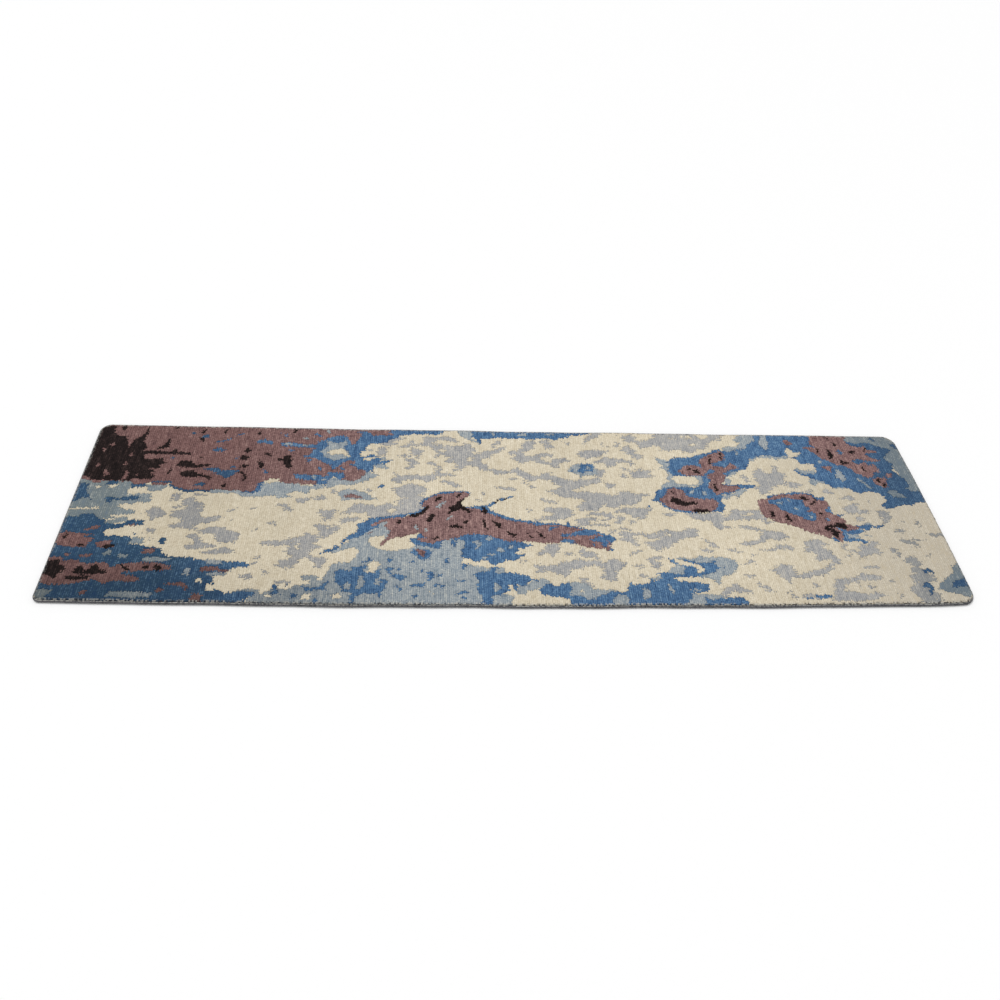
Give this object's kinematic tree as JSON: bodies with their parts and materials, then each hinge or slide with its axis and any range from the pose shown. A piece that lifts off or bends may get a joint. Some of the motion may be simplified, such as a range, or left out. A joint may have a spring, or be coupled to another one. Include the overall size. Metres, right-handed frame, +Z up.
{
  "type": "runner_rug",
  "caption": "Hand-knotted wool runner, three metres long, with an abstract ivory, blue, mauve and grey design and a grey overcast edge",
  "frame": {"origin": "Under the middle of the rug, on the plane that it lies on", "axes": "+X along the rug's length, +Y across its width and away from the front edge, +Z up out of the pile"},
  "size_m": [3, 0.8, 0.013],
  "materials": {
    "ivory_wool": "matte",
    "grey_wool": "matte",
    "pale_blue_wool": "matte",
    "blue_wool": "matte",
    "mauve_wool": "matte",
    "dark_brown_wool": "matte",
    "natural_cotton": "matte",
    "edge_wool": "matte",
    "sewing_thread": "matte"
  },
  "bodies": {
    "root": {"pile_ivory": "ivory_wool", "pile_grey": "grey_wool", "pile_pale_blue": "pale_blue_wool", "pile_blue": "blue_wool", "pile_mauve": "mauve_wool", "pile_dark_brown": "dark_brown_wool", "warp_yarns": "natural_cotton", "weft_yarns": "natural_cotton", "end_web_left": "natural_cotton", "end_web_right": "natural_cotton", "hem_stitches_left": "sewing_thread", "hem_stitches_right": "sewing_thread", "overcast_front": "edge_wool", "overcast_back": "edge_wool", "overcast_left": "edge_wool", "overcast_right": "edge_wool", "edge_cord_front": "natural_cotton", "edge_cord_back": "natural_cotton", "edge_cord_left": "natural_cotton", "edge_cord_right": "natural_cotton"}
  },
  "joints": []
}
